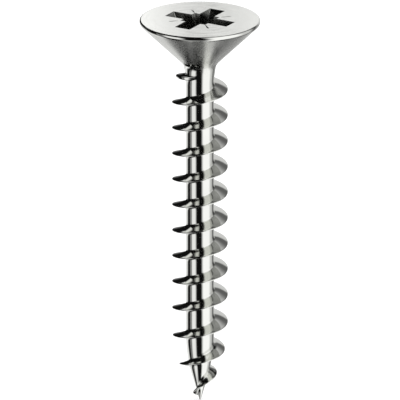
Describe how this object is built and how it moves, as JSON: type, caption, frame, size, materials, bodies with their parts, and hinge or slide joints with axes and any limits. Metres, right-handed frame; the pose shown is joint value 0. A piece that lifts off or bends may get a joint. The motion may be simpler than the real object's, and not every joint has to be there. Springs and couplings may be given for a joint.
{
  "type": "wood screw",
  "caption": "Countersunk wood screw with a cross recess, threaded over its whole length to a sharp point, in bright steel.",
  "frame": {"origin": "centre of the head's flat top face, which lies level with the wood's surface when the screw is home", "axes": "+Z along the screw's axis, out of the wood towards the driver; the screw lies below the origin with its point at -Z; the recess blades lie 60 degrees and 150 degrees from +X"},
  "size_m": [0.009, 0.009, 0.03],
  "materials": {
    "screw": "bright, polished"
  },
  "bodies": {
    "root": {"screw": "screw"}
  },
  "joints": []
}
